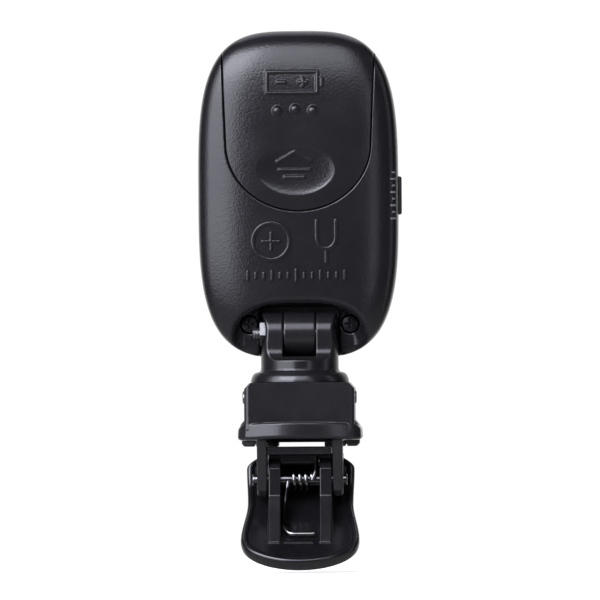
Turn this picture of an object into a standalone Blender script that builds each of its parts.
"""Clip-on tuner: display head on a tilting, turning neck, held by a sprung clip.

+Z is up, the display faces +Y, the battery door faces -Y and the side button is on +X.
The origin is under the neck's turning axis, level with the tail of the clip lever.
Shapes are worked out in millimetres and placed in metres.
"""

import math

import bmesh
import bpy
from mathutils import Vector

for old in list(bpy.data.objects):
    bpy.data.objects.remove(old, do_unlink=True)

MM = 0.001
FAR = 20.0  # reach of a cutting tool that has to pass clean through
SIDES = (-1, 1)  # -X, +X
SMOOTH_ANGLE = math.radians(35)
WELD, FINAL_WELD = 1e-5, 2e-4  # merge distances, for a raw and for a finished solid

# ---------------------------------------------------------------- shared by several pieces
HEAD_Z = 62.5  # height of the head's middle
HEAD_HALF_X = 16.7
HEAD_HALF_Z = 27.3
HEAD_SQUARE = 3.3  # squareness of the outline
HEAD_Y = 2.75  # plane of the widest section
HEAD_DEPTH = 6.25  # from that plane to the back, and to the front
HEAD_EDGE = 3.6  # squareness of the edge rounding
SPLIT_Y = 5.2  # front edge of the rear cover
SPLIT_GAP = 0.3
WALL = 1.4

DOOR_HALF = 12.0  # half width of the battery door where its round end starts
DOOR_ROUND_Z = 71.0
DOOR_ROUND_DROP = 11.1
DOOR_TOP = 96.0  # the outline runs on past the head
DOOR_DRAFT = 0.042  # the door widens upwards, so it slides off freely
DOOR_WALL = 1.25
DOOR_GAP = 0.28
DOOR_LIP_Y = 2.2  # how far the door wraps over the top

CELL_Z, CELL_R = 71.4, 10.0
CASE_SCREW_X, CASE_SCREW_Z = 8.4, 40.9
BOARD_SCREW_X, BOARD_SCREW_Z = 11.6, 52.5
SIDE_KEY_Z = 62.25
POWER_KEY_Y, POWER_KEY_Z = 9.0, 48.6
WINDOW_Z, WINDOW_HALF_X, WINDOW_HALF_Z = 67.4, 12.0, 15.8
WINDOW_SQUARE = 4.0

HINGE_Z = 39.4
LUG_R, LUG_HALF = 3.6, 2.6
HINGE_SCREW_R = 0.97

BLOCK_TOP = 31.0  # top of the clip's block, under the neck
POST_R = 3.9
PIVOT_Y, PIVOT_Z = -3.0, 15.0  # axis of the lever
PIVOT_PIN_R = 0.95
SWIVEL_PIN_Y, SWIVEL_PIN_Z = -4.0, 28.75


# ================================================================ solids
def solid(verts, faces):
    """A closed mesh in millimetres, with its faces pointing out."""
    mesh = bpy.data.meshes.new("work")
    mesh.from_pydata([tuple(v) for v in verts], [], faces)
    bm = bmesh.new()
    bm.from_mesh(mesh)
    bmesh.ops.remove_doubles(bm, verts=bm.verts, dist=WELD)
    bmesh.ops.recalc_face_normals(bm, faces=bm.faces)
    if bm.calc_volume(signed=True) < 0:
        bmesh.ops.reverse_faces(bm, faces=bm.faces)
    bm.to_mesh(mesh)
    bm.free()
    obj = bpy.data.objects.new("work", mesh)
    bpy.context.scene.collection.objects.link(obj)
    return obj


def boolean(target, tool, operation):
    """Applies one boolean to target and uses up the tool."""
    modifier = target.modifiers.new("b", "BOOLEAN")
    modifier.operation = operation
    modifier.solver = "EXACT"
    modifier.object = tool
    bpy.context.view_layer.update()
    graph = bpy.context.evaluated_depsgraph_get()
    made = bpy.data.meshes.new_from_object(target.evaluated_get(graph))
    target.modifiers.clear()
    target.data = made
    bpy.data.objects.remove(tool, do_unlink=True)
    return target


def cut(target, *tools):
    for tool in tools:
        boolean(target, tool, "DIFFERENCE")
    return target


def join(target, *tools):
    for tool in tools:
        boolean(target, tool, "UNION")
    return target


def common(target, tool):
    return boolean(target, tool, "INTERSECT")


def loft(rings):
    """Closed solid through rings of equal length, with flat end caps."""
    n = len(rings[0])
    verts = [point for ring in rings for point in ring]
    faces = [list(range(n)), [(len(rings) - 1) * n + i for i in range(n)]]
    for r in range(len(rings) - 1):
        for i in range(n):
            j = (i + 1) % n
            faces.append([r * n + i, r * n + j, (r + 1) * n + j, (r + 1) * n + i])
    return solid(verts, faces)


# for each axis: the two axes across it, then its own index
AXES = {"X": (1, 2, 0), "Y": (0, 2, 1), "Z": (0, 1, 2)}


def on_axis(axis, across, level):
    """The 3D point at a place across an axis and a level along it."""
    u, v, w = AXES[axis]
    point = [0.0, 0.0, 0.0]
    point[u], point[v], point[w] = *across, level
    return point


def prism(axis, outline, low, high):
    """An outline in the plane across an axis, drawn out along it."""
    return loft([[on_axis(axis, p, level) for p in outline] for level in (low, high)])


def turned(axis, centre, profile, count=32):
    """Rings of (radius, level) about an axis through centre."""
    angles = [2 * math.pi * (i + 0.5) / count for i in range(count)]
    return loft([
        [
            on_axis(axis, (centre[0] + r * math.cos(t), centre[1] + r * math.sin(t)), level)
            for t in angles
        ]
        for r, level in profile
    ])


def rod(axis, centre, r, low, high, count=24):
    return turned(axis, centre, [(r, low), (r, high)], count)


def turned_pair(x, z, profile, count=24):
    """The same turned solid at -x and at +x, both along Y."""
    return [turned("Y", (sign * x, z), profile, count) for sign in SIDES]


def case_rods(r, low, high, count=24):
    """Rods on the axes of the two case screws."""
    return turned_pair(CASE_SCREW_X, CASE_SCREW_Z, [(r, low), (r, high)], count)


def hinge_rod(r, low=-FAR, high=FAR, count=24):
    return rod("X", (0, HINGE_Z), r, low, high, count)


def box(low, high):
    (x0, y0, z0), (x1, y1, z1) = low, high
    return prism("Z", [(x0, y0), (x1, y0), (x1, y1), (x0, y1)], z0, z1)


def slab(y0, y1):
    """Everything around the head between two planes."""
    return box((-40, y0, 0), (40, y1, 120))


def cross(axis, centre, arm, half_width, low, high):
    """Two crossed bars, the tool for a screw's drive recess."""
    bars = []
    for half_u, half_v in ((arm, half_width), (half_width, arm)):
        bars.append(box(
            on_axis(axis, (centre[0] - half_u, centre[1] - half_v), low),
            on_axis(axis, (centre[0] + half_u, centre[1] + half_v), high),
        ))
    return join(*bars)


def span(sign, near, far):
    """The x range between two distances from the middle, on one side."""
    return sorted((sign * near, sign * far))


# ================================================================ outlines and paths
def both_sides(half):
    """An outline completed from its +X half by mirroring."""
    mirrored = [(-x, y) for x, y in half]
    return mirrored[:1] + half + mirrored[:0:-1]


def rounded(half_u, half_v, r, centre=(0.0, 0.0), steps=4):
    """A rectangle with round corners."""
    out = []
    for k, (sign_u, sign_v) in enumerate(((1, 1), (-1, 1), (-1, -1), (1, -1))):
        for i in range(steps + 1):
            t = math.pi / 2 * (k + i / steps)
            u = centre[0] + sign_u * (half_u - r) + r * math.cos(t)
            v = centre[1] + sign_v * (half_v - r) + r * math.sin(t)
            out.append((u, v))
    return out


def squircle(half_u, half_v, power, count, centre=(0.0, 0.0)):
    """A superellipse with its points spread evenly along it."""
    samples = count * 24
    fine = []
    for i in range(samples):
        t = 2 * math.pi * i / samples
        c, s = math.cos(t), math.sin(t)
        r = (abs(c / half_u) ** power + abs(s / half_v) ** power) ** (-1 / power)
        fine.append((r * c, r * s))
    steps = [math.dist(fine[i - 1], fine[i]) for i in range(samples)]
    total = sum(steps)
    wanted = travelled = 0.0
    out = []
    for i, (u, v) in enumerate(fine):
        travelled += steps[i] if i else 0.0
        if travelled >= wanted - 1e-9 and len(out) < count:
            out.append((centre[0] + u, centre[1] + v))
            wanted += total / count
    return out


def tube(path, r, sides=8):
    """A round wire along a path of points."""
    points = [Vector(p) for p in path]
    last = len(points) - 1
    tangents = [
        (points[min(i + 1, last)] - points[max(i - 1, 0)]).normalized()
        for i in range(len(points))
    ]
    side = tangents[0].orthogonal().normalized()
    rings = []
    for point, tangent in zip(points, tangents):
        side = (side - tangent * side.dot(tangent)).normalized()
        other = tangent.cross(side)
        ring = []
        for k in range(sides):
            t = 2 * math.pi * k / sides
            ring.append(point + side * (r * math.cos(t)) + other * (r * math.sin(t)))
        rings.append(ring)
    return loft(rings)


def bend(path, radius, steps):
    """A polyline with its corners rounded."""
    points = [Vector(p) for p in path]
    out = [points[0]]
    for before, corner, after in zip(points, points[1:], points[2:]):
        back, ahead = before - corner, after - corner
        reach = min(radius, back.length * 0.45, ahead.length * 0.45)
        start = corner + back.normalized() * reach
        end = corner + ahead.normalized() * reach
        for k in range(steps + 1):
            t = k / steps
            out.append(start * (1 - t) ** 2 + corner * 2 * t * (1 - t) + end * t * t)
    out.append(points[-1])
    return out


# ================================================================ shapes the head shares
def head_body(inset, y0, y1, rings=8):
    """The head's pillow shape, drawn in by inset, between two planes."""
    depth = HEAD_DEPTH - inset
    outline = squircle(HEAD_HALF_X - inset, HEAD_HALF_Z - inset, HEAD_SQUARE, 48)
    levels = []
    for i in range(-rings, rings + 1):
        # stops just short of the quarter turn, so the end caps keep a size
        t = math.pi / 2 * i / rings * 0.985
        y = math.copysign(abs(math.sin(t)) ** (2 / HEAD_EDGE), t) * depth
        levels.append((y, abs(math.cos(t)) ** (2 / HEAD_EDGE)))
    made = loft(
        [[(x * s, HEAD_Y + y, HEAD_Z + z * s) for x, z in outline] for y, s in levels]
    )
    return common(made, slab(y0, y1))


def head_core(inset):
    """The whole pillow, drawn in, as a tool for hollowing."""
    return head_body(inset, -FAR, FAR, rings=7)


def door_outline(grow=0.0):
    """The battery door from behind: sides that open upwards and a round lower end."""
    half = DOOR_HALF + grow
    drop = DOOR_ROUND_DROP + grow
    side = half + DOOR_DRAFT * (DOOR_TOP - DOOR_ROUND_Z)
    out = [(-side, DOOR_TOP)]
    for i in range(25):
        t = math.pi + math.pi * i / 24
        out.append((half * math.cos(t), DOOR_ROUND_Z + drop * math.sin(t)))
    out.append((side, DOOR_TOP))
    return out


DISH_Z = 36.6
DISH_RIM = ((-5.0, 12.2, 9.3), (-3.2, 11.5, 8.4))  # y, half width, half height
DISH_FLOOR = (10.5, 7.2)  # half width, half height
DISH_MOUTH_HALF = 10.2  # half width of the opening below
DISH_MOUTH_Y, DISH_MOUTH_Z = -4.9, 24.0


def dish(grow, floor_y):
    """The scooped recess at the foot of the head, around the hinge."""
    rings = []
    for y, half_x, half_z in (*DISH_RIM, (floor_y, *DISH_FLOOR)):
        outline = squircle(half_x + grow, half_z + grow, 2.7, 40, centre=(0, DISH_Z))
        rings.append([(x, y, z) for x, z in outline])
    half = DISH_MOUTH_HALF + grow
    mouth = box((-half, DISH_MOUTH_Y, DISH_MOUTH_Z), (half, floor_y - 0.01, DISH_Z))
    return join(loft(rings), mouth)


# ================================================================ covers and door
BOSS_Y = 4.75  # front end of the solid left around the hinge and the screws
HINGE_BLOCK_HALF, HINGE_BLOCK_TOP = 7.7, 45.4
CHANNEL_HALF, CHANNEL_Y = 6.65, 3.85  # middle channel of the dish
WEB_HALF_Z = 2.7  # the hinge lug's web
WEB_GAP_X, WEB_GAP_Z = 0.25, 0.4
CELL_POCKET_R, CELL_POCKET_Y = CELL_R + 0.35, 1.95
TONGUE_Z = 59.95  # tongue at the foot of the battery door
COUNTERBORE = [(1.55, 0.8), (1.55, 2.5), (1.08, 2.501), (1.08, 6.0)]  # radius, y


def rear_cover():
    # the inside: a thin shell, stepped in under the door
    hollow = head_core(WALL)
    cut(hollow, prism("Y", door_outline(1.3), -FAR, 3.1))
    join(hollow, head_core(2.7))
    common(hollow, slab(-FAR, SPLIT_Y + 3.0))
    cut(
        hollow,
        rod("Y", (0, CELL_Z), CELL_POCKET_R + 1.0, -FAR, 2.75, 40),
        dish(1.1, 2.4),
        box((-HINGE_BLOCK_HALF, -FAR, 20.0), (HINGE_BLOCK_HALF, BOSS_Y, HINGE_BLOCK_TOP)),
        *case_rods(2.5, -FAR, BOSS_Y),
    )
    rear = cut(head_body(0.0, -FAR, SPLIT_Y), hollow)

    # seat of the battery door, a slot for its tongue, the cell's pocket and contact slot
    seat = prism("Y", door_outline(DOOR_GAP), -FAR, DOOR_LIP_Y + 0.3)
    cut(seat, head_core(DOOR_WALL + 0.25))
    cut(
        rear,
        seat,
        box((-3.3, -2.75, 58.4), (3.3, -1.4, 61.5)),
        rod("Y", (0, CELL_Z), CELL_POCKET_R, -FAR, CELL_POCKET_Y, 40),
        box((CELL_R - 0.6, -1.2, CELL_Z - 3.0), (CELL_R + 1.1, 1.7, CELL_Z + 3.0)),
    )

    # hinge recess: shallow dish, deep middle channel, web slot through its floor
    slot_x, slot_z = LUG_HALF + WEB_GAP_X, WEB_HALF_Z + WEB_GAP_Z
    cut(
        rear,
        dish(0.0, 1.3),
        prism("Y", rounded(CHANNEL_HALF, 10.4, 1.6, (0, 34.0)), -FAR, CHANNEL_Y),
        box((-slot_x, 3.0, HINGE_Z - slot_z), (slot_x, 6.0, HINGE_Z + slot_z)),
        *turned_pair(CASE_SCREW_X, CASE_SCREW_Z, COUNTERBORE),
    )
    # slot for the side button
    outline = rounded(1.45, 3.45, 0.6, (HEAD_Y, SIDE_KEY_Z))
    return cut(rear, prism("X", outline, HEAD_HALF_X - 3.5, HEAD_HALF_X + 3))


def window_outline(gap):
    half_x, half_z = WINDOW_HALF_X - gap, WINDOW_HALF_Z - gap
    return squircle(half_x, half_z, WINDOW_SQUARE, 40, centre=(0, WINDOW_Z))


FRONT_BOSS_R = 2.3
FRONT_INNER_Y = 7.6  # back face of the front wall


def front_cover():
    front = head_body(0.0, SPLIT_Y + SPLIT_GAP, FAR)
    inside = head_body(WALL, 0.0, FRONT_INNER_Y, rings=7)
    cut(inside, *case_rods(FRONT_BOSS_R, 0.0, FAR))
    cut(front, inside)
    # screw bosses, which reach back past the edge, and their pilot holes
    bosses = case_rods(FRONT_BOSS_R, 5.45, 7.9)
    join(front, *[common(boss, head_body(0.6, 0.0, FAR)) for boss in bosses])
    cut(front, *case_rods(1.0, 0.0, 6.7, count=20))
    # window seat, display opening, power button hole
    return cut(
        front,
        prism("Y", window_outline(0), 7.7, FAR),
        prism("Y", rounded(9.3, 13.1, 1.2, (0, WINDOW_Z)), 0.0, 8.0),
        prism("Y", rounded(4.7, 2.0, 1.99, (0, POWER_KEY_Z)), 0.0, FAR),
    )


def display_window():
    window = prism("Y", window_outline(0.2), 7.85, 9.4)
    return common(window, head_body(0.05, 0.0, FAR))


# both in (radius, y)
THUMB_HOLLOW = [(6.4, -3.9), (5.8, -3.35), (4.6, -3.12), (2.0, -3.02)]
DOOR_STUD = [(0.95, -2.9), (0.95, -3.42), (0.75, -3.62), (0.35, -3.72)]
DOOR_STUD_PITCH, DOOR_STUD_Z = 2.9, 76.6


def battery_door():
    cover = prism("Y", door_outline(), -FAR, DOOR_LIP_Y)
    common(cover, head_core_outer())
    cut(cover, head_core(DOOR_WALL))
    join(cover, prism("Y", rounded(3.0, 1.1, 0.4, (0, TONGUE_Z)), -2.5, -1.75))
    cut(cover, turned("Y", (0, 67.3), THUMB_HOLLOW))
    # a row of three small raised studs
    for i in (-1, 0, 1):
        join(cover, turned("Y", (i * DOOR_STUD_PITCH, DOOR_STUD_Z), DOOR_STUD, 16))
    return cover


def head_core_outer():
    """The head's full outer shape."""
    return head_body(0.0, -FAR, FAR)


# ================================================================ inside the head
CELL_BACK, CELL_FRONT = -1.6, 1.6
CELL_PROFILE = [  # radius, y
    (CELL_R - 0.25, CELL_BACK),
    (CELL_R, CELL_BACK + 0.25),
    (CELL_R, CELL_FRONT - 0.55),
    (9.6, CELL_FRONT - 0.3),
    (8.9, CELL_FRONT - 0.3),
    (8.75, CELL_FRONT),
]
# x, y: a strip beside the cell with a foot turned outwards
PLUS_CONTACT = [
    (10.13, -1.0), (10.33, -1.0), (10.33, 1.3), (10.95, 1.3), (10.95, 1.55), (10.13, 1.55),
]
PLUS_CONTACT_HALF = 2.2

BOARD_BACK, BOARD_FRONT = 3.2, 4.0
BOARD_HALF_X, BOARD_HALF_Z = 14.4, 25.0
BOARD_SQUEEZE = 0.985  # narrows the board's outline in x
BOARD_FOOT = 46.2
PART_FRONT = 3.1  # front face of the parts behind the board

# profiles in (radius, y)
BOARD_SCREW = [(0.75, 2.75), (1.5, 2.8), (1.6, 3.1), (1.6, 3.12), (0.75, 3.13), (0.75, 5.0)]
CASE_SCREW = [(1.1, 1.35), (1.4, 1.6), (1.4, 2.35), (0.85, 2.4), (0.85, 6.0), (0.5, 6.4)]
PIEZO = [(4.4, -1.6), (4.4, -1.32), (3.4, -1.31), (3.4, -1.15)]
PIEZO_WIRE_Y, PIEZO_WIRE_R = -0.75, 0.26


def circuit_board():
    outline = squircle(BOARD_HALF_X, BOARD_HALF_Z, HEAD_SQUARE, 48, centre=(0, HEAD_Z))
    outline = [(x * BOARD_SQUEEZE, z) for x, z in outline]
    notch = 4.85  # half height of the notch at the side button
    return cut(
        prism("Y", outline, BOARD_BACK, BOARD_FRONT),
        box((-20, 0, 20), (20, 10, BOARD_FOOT)),
        box((13.4, 0, SIDE_KEY_Z - notch), (20, 10, SIDE_KEY_Z + notch)),
        *turned_pair(BOARD_SCREW_X, BOARD_SCREW_Z, [(0.95, 0.0), (0.95, 10.0)], 16),
    )


def piezo_wire(start_x, start_z, bend_x):
    """A wire out along the sensor, then forward to the board."""
    end_x = bend_x + 0.8
    path = [
        (start_x, PIEZO_WIRE_Y, start_z),
        (bend_x, PIEZO_WIRE_Y, start_z),
        (end_x, 0.6, 55.4),
        (end_x, 2.95, 55.9),
    ]
    return tube(bend(path, 0.9, 3), PIEZO_WIRE_R, 6)


def side_switch():
    """Body, with its plunger towards the button."""
    body_half, plunger_half = 2.15, 0.75
    return join(
        box((11.0, 1.0, SIDE_KEY_Z - body_half), (13.3, PART_FRONT, SIDE_KEY_Z + body_half)),
        box((13.2, 1.9, SIDE_KEY_Z - plunger_half), (13.7, 2.9, SIDE_KEY_Z + plunger_half)),
    )


def power_switch():
    half = 1.9
    return join(
        box((-half, 4.1, POWER_KEY_Z - half), (half, 5.4, POWER_KEY_Z + half)),
        rod("Y", (0, POWER_KEY_Z), 1.0, 5.3, 5.85, 16),
    )


def case_screws():
    screws = turned_pair(CASE_SCREW_X, CASE_SCREW_Z, CASE_SCREW)
    for sign, screw in zip(SIDES, screws):
        cut(screw, cross("Y", (sign * CASE_SCREW_X, CASE_SCREW_Z), 0.8, 0.16, 0.5, 1.9))
    return screws


def hinge_lug():
    """Barrel, web through the recess floor, plate held between the covers."""
    lug = hinge_rod(LUG_R, -LUG_HALF, LUG_HALF, 40)
    web_low, web_high = HINGE_Z - WEB_HALF_Z, HINGE_Z + WEB_HALF_Z
    join(
        lug,
        box((-LUG_HALF, 0.0, web_low), (LUG_HALF, 5.2, web_high)),
        box((-5.4, 4.95, 40.6), (5.4, 6.2, 46.0)),
    )
    return cut(lug, hinge_rod(HINGE_SCREW_R + 0.08))


# ================================================================ buttons
def side_button():
    """Cap, and the flange that keeps it in."""
    outline = rounded(1.2, 3.2, 0.5, (HEAD_Y, SIDE_KEY_Z))
    half_y, half_z = 1.8, 4.05
    return join(
        prism("X", outline, 14.6, HEAD_HALF_X + 0.6),
        box(
            (14.2, HEAD_Y - half_y, SIDE_KEY_Z - half_z),
            (14.9, HEAD_Y + half_y, SIDE_KEY_Z + half_z),
        ),
    )


def power_button():
    """Cap, and the flange that keeps it in."""
    return join(
        prism("Y", rounded(4.4, 1.7, 1.69, (0, POWER_KEY_Z)), 6.7, 9.15),
        prism("Y", rounded(5.2, 2.4, 2.3, (0, POWER_KEY_Z)), 6.5, 7.2),
    )


# ================================================================ neck
BARREL_R = 3.5
FORK_IN = 2.85  # half width of the gap between the fork's arms
NECK_PROFILE = [  # radius, z: grooved post, flange, then the body of the fork
    (POST_R, 25.6), (POST_R, 27.6), (2.85, 27.61), (2.85, 29.9), (POST_R, 29.91),
    (POST_R, 31.35), (8.15, 31.36), (8.2, 31.6), (7.95, 32.25), (7.4, 32.75),
    (6.75, 32.85), (6.45, 33.2), (6.45, 38.0), (6.05, 44.0),
]
NECK_SIDE = [  # y, z: the fork seen along X, below its round top
    (-BARREL_R, 37.0), (-BARREL_R, 35.7), (-4.1, 35.1), (-20, 34.95), (-20, 20),
    (20, 20), (20, 34.9), (3.7, 34.95), (BARREL_R, 35.3), (BARREL_R, 37.0),
]
NUT_SIDE = 2.309  # corner radius of the hexagon
HINGE_SCREW = [  # radius, x
    (0.7, -7.75), (HINGE_SCREW_R, -7.45), (HINGE_SCREW_R, 4.85), (1.9, 4.86),
    (1.9, 5.5), (1.5, 6.0), (0.9, 6.1),
]


def swivel_neck():
    fork = turned("Z", (0, 0), NECK_PROFILE, 48)
    arch = []
    for i in range(17):
        t = math.pi * i / 16
        arch.append((BARREL_R * math.cos(t), HINGE_Z + BARREL_R * math.sin(t)))
    common(fork, prism("X", arch + NECK_SIDE, -FAR, FAR))
    # gap for the lug, screw bore, nut pocket, screw head pocket
    return cut(
        fork,
        box((-FORK_IN, -FAR, HINGE_Z - LUG_R - 0.25), (FORK_IN, FAR, 60)),
        hinge_rod(HINGE_SCREW_R + 0.08),
        hinge_rod(2.85, high=-5.15, count=28),
        hinge_rod(2.1, low=4.75, count=28),
    )


def hinge_nut():
    corners = []
    for k in range(6):
        t = math.radians(60 * k)
        corners.append((NUT_SIDE * math.cos(t), HINGE_Z + NUT_SIDE * math.sin(t)))
    return cut(prism("X", corners, -6.6, -5.2), hinge_rod(HINGE_SCREW_R + 0.06, count=20))


def hinge_screw():
    screw = turned("X", (0, HINGE_Z), HINGE_SCREW, 24)
    return cut(screw, cross("X", (0, HINGE_Z), 0.95, 0.18, 5.4, 7.0))


# ================================================================ upper jaw
BLOCK_HALF_X, BLOCK_HALF_Y = 9.2, 8.2
BLOCK_FOOT_Z = 24.0
BLOCK_TRIM = [(30, 0), (30, 30.1), (9.3, 30.1), (8.3, 31.2)]  # x, z: chamfers the top
FOOT_SECTIONS = [  # half width, half depth, z
    (10.15, 9.4, BLOCK_FOOT_Z), (9.55, 8.65, 24.75), (9.22, 8.25, 25.7),
]
PLATE_HALF, PLATE_BACK, PLATE_FRONT = 10.4, -9.8, 14.4
PLATE_PLAN = [(8.7, PLATE_BACK), (PLATE_HALF, -8.0), (PLATE_HALF, 11.0), (7.6, PLATE_FRONT)]
PLATE_BOTTOM, PLATE_TOP = 21.6, 24.25
PLATE_LEVELS = [  # z, inset
    (PLATE_BOTTOM, 0.55), (22.25, 0.0), (PLATE_TOP - 0.25, 0.0), (PLATE_TOP, 0.25),
]
EAR_IN, EAR_OUT = 5.45, 7.15
EAR_TIP_Z = 12.3
EAR = [  # y, z
    (1.2, 22.0), (0.1, 18.5), (-0.45, 15.2), (-0.9, EAR_TIP_Z + 0.9), (-1.7, EAR_TIP_Z),
    (-4.3, EAR_TIP_Z), (-5.2, EAR_TIP_Z + 0.9), (-5.7, 15.2), (-6.6, 18.5), (-8.2, 22.0),
]
CROSS_BAR = [(-6.3, 19.25), (-5.2, 19.25), (-5.2, 20.35), (-6.3, 20.35)]  # y, z
SOCKET_R = POST_R + 0.12
# radius, z: bore for the neck's post, with a wider seat for the washer
SOCKET = [(SOCKET_R, 25.2), (SOCKET_R, 30.55), (6.5, 30.56), (6.5, 33.0)]
SWIVEL_PIN = [(0.85, -9.55), (0.98, -9.4), (0.98, 9.4), (0.85, 9.55)]  # radius, x
PIVOT_PIN = [(0.75, -8.0), (PIVOT_PIN_R, -7.8), (PIVOT_PIN_R, 7.65), (0.75, 7.85)]


def upper_jaw():
    block = rounded(BLOCK_HALF_X, BLOCK_HALF_Y, 1.15, steps=3)
    jaw = prism("Z", block, BLOCK_FOOT_Z - 0.5, BLOCK_TOP)
    common(jaw, prism("Y", both_sides(BLOCK_TRIM), -FAR, FAR))
    plan = both_sides(PLATE_PLAN)
    plate = [
        [(x * (1 - inset / PLATE_HALF), y * (1 + inset / PLATE_BACK), z) for x, y in plan]
        for z, inset in PLATE_LEVELS
    ]
    # a sloping foot joins the block to the plate
    foot = [
        [(x * half_x / BLOCK_HALF_X, y * half_y / BLOCK_HALF_Y, z) for x, y in block]
        for half_x, half_y, z in FOOT_SECTIONS
    ]
    join(jaw, loft(plate), loft(foot))
    for sign in SIDES:
        join(jaw, prism("X", EAR, *span(sign, EAR_IN, EAR_OUT)))
    # cross bar between the ears, which the spring pushes on
    join(jaw, prism("X", CROSS_BAR, -6.0, 6.0))
    return cut(
        jaw,
        rod("X", (PIVOT_Y, PIVOT_Z), PIVOT_PIN_R + 0.05, -FAR, FAR),
        turned("Z", (0, 0), SOCKET, 40),
        rod("X", (SWIVEL_PIN_Y, SWIVEL_PIN_Z), 1.03, -FAR, FAR),
    )


def swivel_washer():
    washer = rod("Z", (0, 0), 6.2, 30.66, 31.2, 40)
    return cut(washer, rod("Z", (0, 0), POST_R + 0.25, 20, 40, 40))


GRIP_Z = 20.5  # the gripping face of the upper pad
PAD_SECTION = [  # x, z
    (-9.8, 21.5), (-9.8, 21.05), (-9.2, GRIP_Z), (9.2, GRIP_Z), (9.8, 21.05), (9.8, 21.5),
]
PAD_TRIM = [(-7.4, 13.9), (-10, 10.8), (-10, 20), (10, 20), (10, 10.8), (7.4, 13.9)]  # x, y
PAD_CHANNEL = 3.9
GROOVE_XS, GROOVE_WIDTH = (5.6, 7.45), 0.3


def upper_pad():
    """Two rails either side of a channel, each with grip grooves."""
    pad = prism("Y", PAD_SECTION, 1.5, 13.9)
    cut(pad, prism("Z", PAD_TRIM, 19, 23))
    cut(pad, box((-PAD_CHANNEL, 0, 19), (PAD_CHANNEL, 20, 21.1)))
    for sign in SIDES:
        for x in GROOVE_XS:
            low, high = span(sign, x, x + GROOVE_WIDTH)
            cut(pad, box((low, 0, 19), (high, 20, 20.85)))
    return pad


# ================================================================ lever with the lower jaw
SKIN_LINE = [  # y, z: centre line of the lever's skin from the side, jaw end first
    (3.3, 18.3), (2.5, 15.5), (1.2, 12.9), (-1.6, 10.0),
    (-5.4, 7.0), (-9.4, 4.0), (-13.8, 0.68),
]
SKIN_THICK = 1.7
SKIN_STEPS = 26
SKIN_EDGE_STEPS = 3
TAIL_FROM = 0.8  # where along the skin the steps start to close up
SHOULDER_Z, WAIST_Z, TAIL_Z = 16.6, 10.6, 3.8
TAIL_HALF, TAIL_POWER = 9.95, 2.1
JAW_PLAN = [(5.2, -3.6), (5.2, 2.0), (7.1, 3.0), (7.1, 11.5), (5.6, 13.8)]  # x, y
LOWER_PAD_PLAN = [(4.9, -3.3), (4.9, 2.2), (6.8, 3.2), (6.8, 11.4), (5.4, 13.5)]  # x, y
RIB_IN, RIB_OUT = 3.25, 5.27
RIB_BOSS_R = 2.9  # round of the rib behind the pivot
RIB = [  # y, z
    (-3.6, 18.4), (13.0, 18.4), (13.0, 17.2), (3.4, 14.6), (2.2, 13.4), (0.9, 12.1),
    (-1.9, 9.3), (-5.7, 6.3), (-8.4, 4.55), (-9.1, 5.35), (-7.2, 9.6), (-6.0, 13.0),
]


def along(line, t):
    """Point and direction on a smooth curve through points, t from 0 to 1."""
    n = len(line) - 1
    k = min(int(t * n), n - 1)
    fraction = t * n - k
    near = [line[max(k - 1, 0)], line[k], line[k + 1], line[min(k + 2, n)]]

    def at(f):
        out = []
        for a, b, c, d in zip(*near):
            slope = (c - a) * f
            square = (2 * a - 5 * b + 4 * c - d) * f * f
            cube = (3 * b - a - 3 * c + d) * f**3
            out.append(0.5 * (2 * b + slope + square + cube))
        return out

    y0, z0 = at(max(fraction - 0.02, 0.0))
    y1, z1 = at(min(fraction + 0.02, 1.0))
    length = math.hypot(y1 - y0, z1 - z0)
    return at(fraction), ((y1 - y0) / length, (z1 - z0) / length)


def skin_half(z):
    """Half width of the lever's skin at a height: waisted, with a rounded tail."""
    if z > SHOULDER_Z:
        return 8.9 - 1.7 * ((z - SHOULDER_Z) / 1.7) ** 2
    if z > WAIST_Z:
        return 8.75 + 0.15 * math.cos((SHOULDER_Z - z) / (SHOULDER_Z - WAIST_Z) * math.pi)
    if z > TAIL_Z:
        return 8.6 + (TAIL_HALF - 8.6) * ((WAIST_Z - z) / (WAIST_Z - TAIL_Z)) ** 1.5
    drop = (TAIL_Z - z) / (TAIL_Z - SKIN_LINE[-1][1])
    return TAIL_HALF * max(1 - drop**TAIL_POWER, 0.0) ** (1 / TAIL_POWER)


def skin():
    """The curved sheet of the lever, with rounded side edges."""
    h = SKIN_THICK / 2
    rings = []
    for i in range(SKIN_STEPS + 1):
        t = i / SKIN_STEPS
        if t >= TAIL_FROM:
            rest = 1 - TAIL_FROM
            t = TAIL_FROM + rest * math.sin((t - TAIL_FROM) / rest * math.pi / 2)
        (y, z), (dy, dz) = along(SKIN_LINE, t)
        half = max(skin_half(z), 1.2)
        ring = []
        for sign in (1, -1):
            for k in range(SKIN_EDGE_STEPS + 1):
                a = -sign * math.pi / 2 + math.pi * k / SKIN_EDGE_STEPS
                offset = h * math.sin(a)
                x = sign * (half - h) + h * math.cos(a)
                ring.append((x, y + dz * offset, z - dy * offset))
        rings.append(ring)
    return loft(rings)


def lower_jaw():
    handle = join(skin(), prism("Z", both_sides(JAW_PLAN), 17.7, 19.25))
    rib = list(RIB)
    for i in range(5):
        t = math.radians(190 - 22 * i)
        rib.append((PIVOT_Y + RIB_BOSS_R * math.cos(t), PIVOT_Z + RIB_BOSS_R * math.sin(t)))
    for sign in SIDES:
        join(handle, prism("X", rib, *span(sign, RIB_IN, RIB_OUT)))
    return cut(handle, rod("X", (PIVOT_Y, PIVOT_Z), PIVOT_PIN_R + 0.07, -7, 7))


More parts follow.
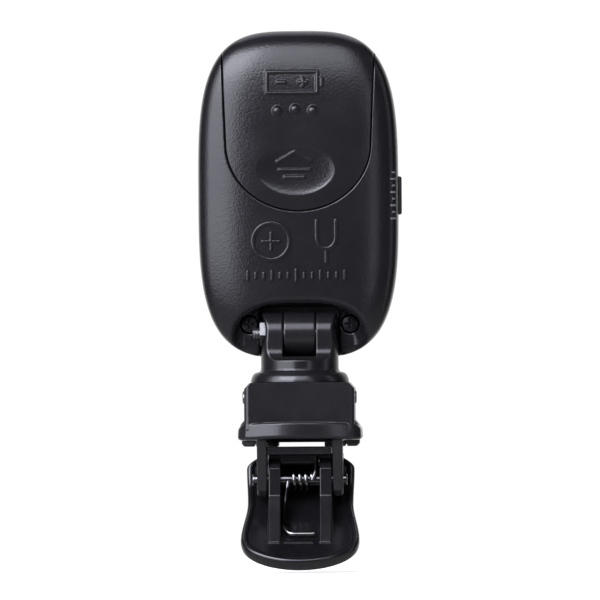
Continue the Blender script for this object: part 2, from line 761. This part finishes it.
# ================================================================ spring
COIL_R, WIRE_R = 1.5, 0.34
COIL_TURNS, COIL_STEPS = 4, 14  # steps in each turn
COIL_HALF = 2.0  # half length of the coil
LEG_Y, LEG_Z = -8.75, 6.75  # cross leg at the lever's end
BAR_Y, BAR_Z = -5.75, 18.75  # cross leg under the jaw's cross bar


def torsion_spring():
    coil_y = PIVOT_Y - COIL_R
    path = bend(
        [
            (2.6, LEG_Y, LEG_Z),
            (-2.75, LEG_Y, LEG_Z),
            (-2.55, PIVOT_Y - 2.6, PIVOT_Z - 2.8),
            (-COIL_HALF, coil_y, PIVOT_Z - 0.5),
        ],
        0.9,
        4,
    )[:-1]
    count = COIL_TURNS * COIL_STEPS
    for i in range(count + 1):
        t = i / count
        a = math.pi + 2 * math.pi * COIL_TURNS * t
        x = -COIL_HALF + 2 * COIL_HALF * t
        path.append((x, PIVOT_Y + COIL_R * math.cos(a), PIVOT_Z + COIL_R * math.sin(a)))
    path += bend(
        [
            (COIL_HALF + 0.15, coil_y, PIVOT_Z - 0.5),
            (COIL_HALF + 0.6, coil_y - 0.3, PIVOT_Z + 1.2),
            (COIL_HALF + 0.75, BAR_Y, BAR_Z),
            (-2.7, BAR_Y, BAR_Z),
        ],
        0.8,
        4,
    )[1:]
    return tube(path, WIRE_R)


# ================================================================ materials
def material(name, colour, roughness, metallic=0.0):
    made = bpy.data.materials.new(name)
    made.use_nodes = True
    inputs = made.node_tree.nodes["Principled BSDF"].inputs
    inputs["Base Color"].default_value = (*colour, 1.0)
    inputs["Roughness"].default_value = roughness
    inputs["Metallic"].default_value = metallic
    return made


GRAIN = material("black_grained_plastic", (0.022, 0.023, 0.027), roughness=0.46)
GLOSS = material("black_gloss_plastic", (0.014, 0.014, 0.017), roughness=0.28)
CLIP = material("black_clip_plastic", (0.017, 0.017, 0.020), roughness=0.34)
RUBBER = material("black_rubber", (0.020, 0.020, 0.022), roughness=0.75)
STEEL = material("bright_steel", (0.62, 0.62, 0.63), roughness=0.22, metallic=1.0)
DARK_STEEL = material("blackened_steel", (0.03, 0.03, 0.032), roughness=0.35, metallic=1.0)
CELL_STEEL = material("cell_steel", (0.66, 0.66, 0.65), roughness=0.28, metallic=1.0)
BRASS = material("brass", (0.72, 0.55, 0.25), roughness=0.30, metallic=1.0)
BOARD = material("board_green", (0.02, 0.16, 0.06), roughness=0.45)
CHIP = material("chip_black", (0.02, 0.02, 0.02), roughness=0.40)
LENS = material("smoked_lens", (0.02, 0.02, 0.025), roughness=0.05)
LCD = material("lcd_glass", (0.30, 0.34, 0.30), roughness=0.12)
DIFFUSER = material("diffuser_white", (0.85, 0.86, 0.84), roughness=0.35)
ZEBRA = material("elastomer_grey", (0.30, 0.30, 0.32), roughness=0.7)
RED = material("red_insulation", (0.45, 0.02, 0.02), roughness=0.45)
BUTTON = material("black_button", (0.018, 0.018, 0.020), roughness=0.5)


# ================================================================ assembly
def body(name, origin, parent=None):
    """An empty on the axis of a moving body; "home" keeps its place in millimetres."""
    empty = bpy.data.objects.new(name, None)
    bpy.context.scene.collection.objects.link(empty)
    empty["home"] = origin
    empty.empty_display_size = 0.005
    empty.location = Vector(origin) * MM
    if parent:
        empty.parent = parent
        empty.location = (Vector(origin) - Vector(parent["home"])) * MM
    return empty


def place(parent, name, mat, obj):
    """Names the piece, puts its origin on its body's axis and hangs it on that body."""
    mesh = obj.data
    bm = bmesh.new()
    bm.from_mesh(mesh)
    bmesh.ops.remove_doubles(bm, verts=bm.verts, dist=FINAL_WELD)
    bmesh.ops.dissolve_degenerate(bm, edges=bm.edges, dist=FINAL_WELD)
    home = Vector(parent["home"])
    for v in bm.verts:
        v.co = (v.co - home) * MM
    bm.to_mesh(mesh)
    bm.free()
    mesh.name = name
    obj.name = name
    mesh.materials.clear()
    mesh.materials.append(mat)
    mesh.shade_smooth()
    mesh.set_sharp_from_angle(angle=SMOOTH_ANGLE)
    obj.parent = parent


clip_base = body("clip_base", (0, 0, 0))
lever = body("lever", (0, PIVOT_Y, PIVOT_Z), clip_base)
neck = body("neck", (0, 0, BLOCK_TOP), clip_base)
head = body("head", (0, 0, HINGE_Z), neck)
door = body("door", (0, HEAD_Y, HEAD_Z), head)
side_key = body("side_key", (HEAD_HALF_X, HEAD_Y, SIDE_KEY_Z), head)
power_key = body("power_key", (0, POWER_KEY_Y, POWER_KEY_Z), head)

# covers, door and buttons
place(head, "rear_cover", GRAIN, rear_cover())
place(head, "front_cover", GRAIN, front_cover())
place(head, "display_window", LENS, display_window())
place(door, "battery_door", GRAIN, battery_door())
place(side_key, "side_button", BUTTON, side_button())
place(power_key, "power_button", BUTTON, power_button())

# cell and contacts
place(head, "coin_cell", CELL_STEEL, turned("Y", (0, CELL_Z), CELL_PROFILE, 40))
minus = box((-1.5, 1.66, 64.0), (1.5, 1.87, 79.5))
place(head, "battery_contact_negative", BRASS, minus)
plus = prism("Z", PLUS_CONTACT, CELL_Z - PLUS_CONTACT_HALF, CELL_Z + PLUS_CONTACT_HALF)
place(head, "battery_contact_positive", BRASS, plus)

# board, with the parts on it
place(head, "circuit_board", BOARD, circuit_board())
chip = prism("Y", rounded(3.4, 3.4, 0.3, (-4.0, 54.3), 1), 1.75, PART_FRONT)
place(head, "tuner_chip", CHIP, chip)
crystal = prism("Y", rounded(2.6, 1.2, 1.15, (4.6, 50.3)), 1.3, PART_FRONT)
place(head, "quartz_crystal", CELL_STEEL, crystal)
place(head, "piezo_sensor", BRASS, turned("Y", (2.2, 53.9), PIEZO, 28))
place(head, "piezo_wire_red", RED, piezo_wire(4.6, 54.6, 7.7))
place(head, "piezo_wire_black", CHIP, piezo_wire(5.5, 53.0, 9.0))
place(head, "side_switch", CHIP, side_switch())
place(head, "power_switch", CHIP, power_switch())

# display stack: name, material, low corner, high corner
for name, mat, low, high in (
    ("lcd_panel", LCD, (-9.4, 4.95, 54.0), (9.4, 6.6, 80.6)),
    ("backlight_diffuser", DIFFUSER, (-9.2, 4.15, 56.6), (9.2, 4.80, 80.4)),
    ("elastomer_connector", ZEBRA, (-9.2, 4.12, 54.2), (9.2, 4.84, 56.0)),
):
    place(head, name, mat, box(low, high))

board_screws = turned_pair(BOARD_SCREW_X, BOARD_SCREW_Z, BOARD_SCREW, 16)
for side, board_screw, case_screw in zip(("left", "right"), board_screws, case_screws()):
    place(head, "board_screw_" + side, STEEL, board_screw)
    place(head, "case_screw_" + side, DARK_STEEL, case_screw)

# hinge and neck
place(head, "hinge_lug", GLOSS, hinge_lug())
place(neck, "swivel_neck", GLOSS, swivel_neck())
place(neck, "hinge_nut", STEEL, hinge_nut())
place(neck, "hinge_screw", STEEL, hinge_screw())

# clip
place(clip_base, "upper_jaw", CLIP, upper_jaw())
swivel_pin = turned("X", (SWIVEL_PIN_Y, SWIVEL_PIN_Z), SWIVEL_PIN, 24)
place(clip_base, "swivel_pin", STEEL, swivel_pin)
place(clip_base, "swivel_washer", RUBBER, swivel_washer())
place(clip_base, "upper_pad", RUBBER, upper_pad())
place(clip_base, "pivot_pin", STEEL, turned("X", (PIVOT_Y, PIVOT_Z), PIVOT_PIN, 24))
place(lever, "lower_jaw", CLIP, lower_jaw())
place(lever, "lower_pad", RUBBER, prism("Z", both_sides(LOWER_PAD_PLAN), 19.35, 20.4))
place(clip_base, "torsion_spring", STEEL, torsion_spring())
